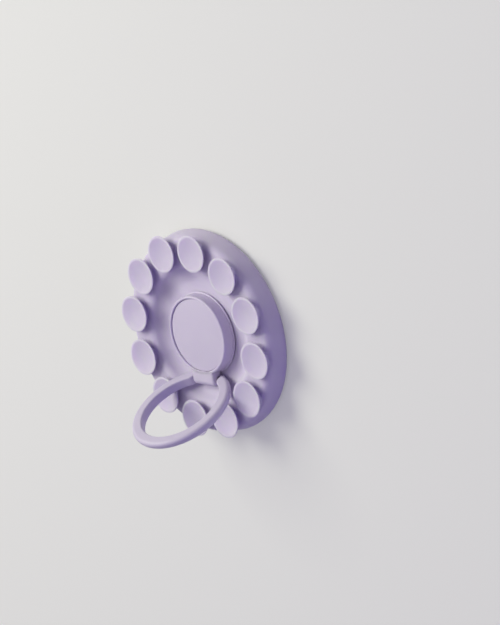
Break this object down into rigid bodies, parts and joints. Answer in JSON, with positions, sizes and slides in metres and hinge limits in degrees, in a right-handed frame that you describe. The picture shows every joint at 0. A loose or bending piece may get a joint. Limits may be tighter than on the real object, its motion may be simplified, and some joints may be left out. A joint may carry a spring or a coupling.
{
  "type": "magnetic suction cup phone holder",
  "caption": "Round silicone phone holder with a flat magnetic back, a ring of suction cups, and a swivelling boss with a fold-out finger ring that doubles as a stand.",
  "frame": {"origin": "centre of the flat contact face on the magnetic back", "axes": "+Z out of the suction cups, square to the back; +X along the finger ring's hinge; the hinge lies on -Y"},
  "size_m": [0.0606, 0.0606, 0.0316],
  "materials": {
    "silicone": "moulded silicone, matt",
    "pad_silicone": "smooth matt sheet",
    "shell_plastic": "moulded, fine satin",
    "frame_plastic": "moulded, matt",
    "ring_lacquer": "die-cast, matt lacquer",
    "glide_plastic": "smooth dark acetal",
    "steel": "bright steel",
    "magnet": "nickel plated"
  },
  "bodies": {
    "base": {"suction_body": "silicone", "contact_pad": "pad_silicone", "carrier_frame": "frame_plastic", "back_cover": "frame_plastic", "shunt_ring": "steel", "pivot_rivet": "steel", "disc_spring": "steel", "glide_washer": "glide_plastic", "magnet_01": "magnet", "magnet_02": "magnet", "magnet_03": "magnet", "magnet_04": "magnet", "magnet_05": "magnet", "magnet_06": "magnet", "magnet_07": "magnet", "magnet_08": "magnet", "magnet_09": "magnet", "magnet_10": "magnet", "magnet_11": "magnet", "magnet_12": "magnet", "magnet_13": "magnet", "magnet_14": "magnet", "magnet_15": "magnet", "magnet_16": "magnet"},
    "hub": {"swivel_hub": "shell_plastic", "cap_disc": "shell_plastic", "hinge_pin": "steel", "hinge_washer_left": "glide_plastic", "hinge_washer_right": "glide_plastic"},
    "ring": {"finger_ring": "ring_lacquer"}
  },
  "joints": [
    {"name": "hub_swivel", "type": "hinge", "parent": "base", "child": "hub", "pos_m": [0, 0, 0.00465], "axis": [0, 0, 1], "continuous": true},
    {"name": "ring_flip", "type": "hinge", "parent": "hub", "child": "ring", "pos_m": [0, -0.0132, 0.0056], "axis": [-1, 0, 0], "range_deg": [0, 116]}
  ]
}
